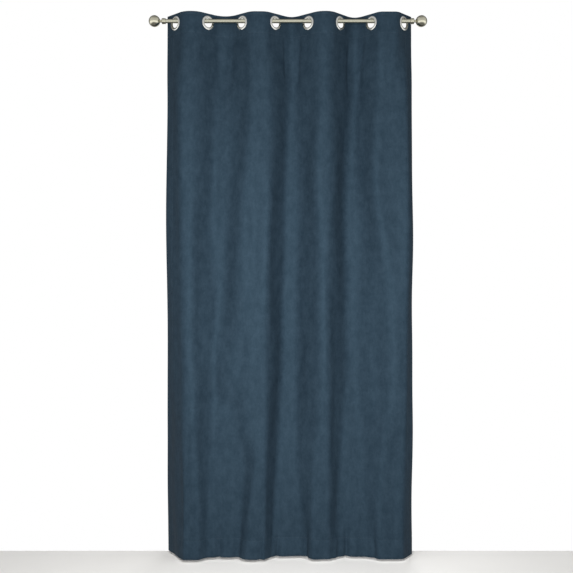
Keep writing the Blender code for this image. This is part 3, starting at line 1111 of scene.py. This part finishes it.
def area_light(name):
    place, target, size, power, tint = LIGHTS[name]
    light = bpy.data.lights.new(name, "AREA")
    light.shape = "RECTANGLE"
    light.size, light.size_y = size
    light.energy = power
    light.color = tint
    made = new_object(name, light)
    made.location = place
    made.rotation_euler = (Vector(target) - Vector(place)).to_track_quat("-Z", "Y").to_euler()
    made.visible_camera = False
    return made


def shine_on(light, name, pieces, state):
    """Lets a lamp light these pieces alone (INCLUDE), or all but these (EXCLUDE)."""
    group = bpy.data.collections.new(name)
    light.light_linking.receiver_collection = group
    for piece in pieces:
        group.objects.link(piece)
    for entry in group.collection_objects:
        entry.light_linking.link_state = state


def make_world():
    """White behind the object. Its light comes from a soft room, and its gloss mirrors a brighter one."""
    world = bpy.data.worlds.new("studio")
    bpy.context.scene.world = world
    world.use_nodes = True
    tree = world.node_tree
    background = tree.nodes["Background"]
    any_node = Wired(tree, background.outputs[0])
    way = any_node.node("ShaderNodeTexCoord", output="Generated")
    across, depth, height = (
        any_node.node("ShaderNodeSeparateXYZ", values={"Vector": way}, output=axis) for axis in "XYZ"
    )
    room, level, behind = (
        any_node.node("ShaderNodeValToRGB", {"stops": stops}, {"Fac": part * 0.5 + 0.5})
        for stops, part in ((ROOM_LEVELS, height), (MIRRORED_LEVELS, height), (MIRRORED_DEPTHS, depth))
    )
    seen = any_node.node("ShaderNodeLightPath", output="Is Camera Ray")
    gloss = any_node.node("ShaderNodeLightPath", output="Is Glossy Ray")
    lit = room * (1 - across * across * SIDES_DARK) * DIFFUSE_SHARE
    unseen = lit * (1 - gloss) + level * behind * MIRRORED_GAIN * gloss
    strength = seen + (1 - seen) * unseen
    tree.links.new(strength.socket, background.inputs["Strength"])
    background.inputs["Color"].default_value = (1, 1, 1, 1)


def make_picture():
    scene = bpy.context.scene
    scene.view_settings.view_transform = "Standard"
    lens = bpy.data.cameras.new("camera")
    lens.lens = CAMERA_LENS
    lens.sensor_width = 36.0
    lens.clip_end = 50.0
    camera = new_object("camera", lens)
    camera.location = CAMERA_AT
    camera.rotation_euler = (math.radians(90), 0, 0)
    scene.camera = camera
    make_world()


def make_lights(floor, metals):
    """A lamp's own glare would burn out in the metals, so those mirror the room alone."""
    shine_on(area_light("key"), "not_under_key", metals, "EXCLUDE")
    shine_on(area_light("back_fill"), "not_under_back_fill", metals, "EXCLUDE")
    shine_on(area_light("floor_light"), "under_floor_light", [floor], "INCLUDE")


def make_floor():
    width, depth = FLOOR_SIZE
    low = (-width / 2, FLOOR_BACK - depth, FLOOR_TOP - FLOOR_THICK)
    high = (width / 2, FLOOR_BACK, FLOOR_TOP)
    bm = bmesh.new()
    middle = Vector([(a + b) / 2 for a, b in zip(low, high)])
    size = [b - a for a, b in zip(low, high)]
    bmesh.ops.create_cube(bm, size=1.0, matrix=Matrix.LocRotScale(middle, None, size))
    mesh = bpy.data.meshes.new("floor")
    bm.to_mesh(mesh)
    bm.free()
    mesh.materials.append(pale_floor())
    made = new_object("floor", mesh)
    # The slate-dark floor under the real one throws no light up, so this pale one doesn't either
    made.visible_diffuse = False
    made.visible_glossy = False
    return made


def dress(piece, slot, *nodes):
    """A piece rides on the one body and stands for its nodes, which are hidden; its slot is not used."""
    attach(piece, "root")
    if nodes:
        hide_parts(*nodes)


def main():
    make_picture()
    floor = make_floor()
    cloth = Cloth()
    curtain = make_curtain(cloth, curtain_suede())
    thread = stitching_thread()
    tree = stitch_tree()
    stitches = [
        make_stitches(cloth, tree, "front_stitching", THREAD_R * THREAD_SUNK, thread),
        make_stitches(cloth, tree, "back_stitching", -THREAD_R * THREAD_SUNK, thread),
    ]
    ring_metal = satin_metal(
        "eyelet_nickel", colour(0.56, 0.56, 0.53), colour(0.70, 0.70, 0.67), (1.0, 1.0, 1.0), 0.24
    )
    rod_metal = satin_metal(
        "rod_nickel", colour(0.56, 0.55, 0.44), colour(0.69, 0.68, 0.55), (0.02, 1.0, 1.0), 0.28
    )
    ball_metal = satin_metal(
        "finial_nickel", colour(0.54, 0.52, 0.41), colour(0.66, 0.64, 0.51), (1.0, 0.3, 0.3), 0.24
    )
    rings = make_rings(ring_metal)
    rod = laid_along_rod(turned("satin_rod", rod_profile(), ROD_SIDES, False, rod_metal), 1)
    dress(curtain, "curtain_cloth", "curtain_panel")
    for piece in stitches:
        dress(piece, "curtain_cloth")
    dress(rings, "eyelet_metal", *[f"eyelet_ring_{index + 1}" for index in range(EYELETS)])
    dress(rod, "rod_metal", "curtain_rod")
    balls = []
    for name, quarter in (("finial_left", -1), ("finial_right", 1)):
        made = turned("ball_" + name, finial_profile(), ROD_SIDES, False, ball_metal)
        balls.append(laid_along_rod(made, quarter))
        dress(balls[-1], "finial_metal", name)
    make_lights(floor, [rings, rod, *balls])


main()
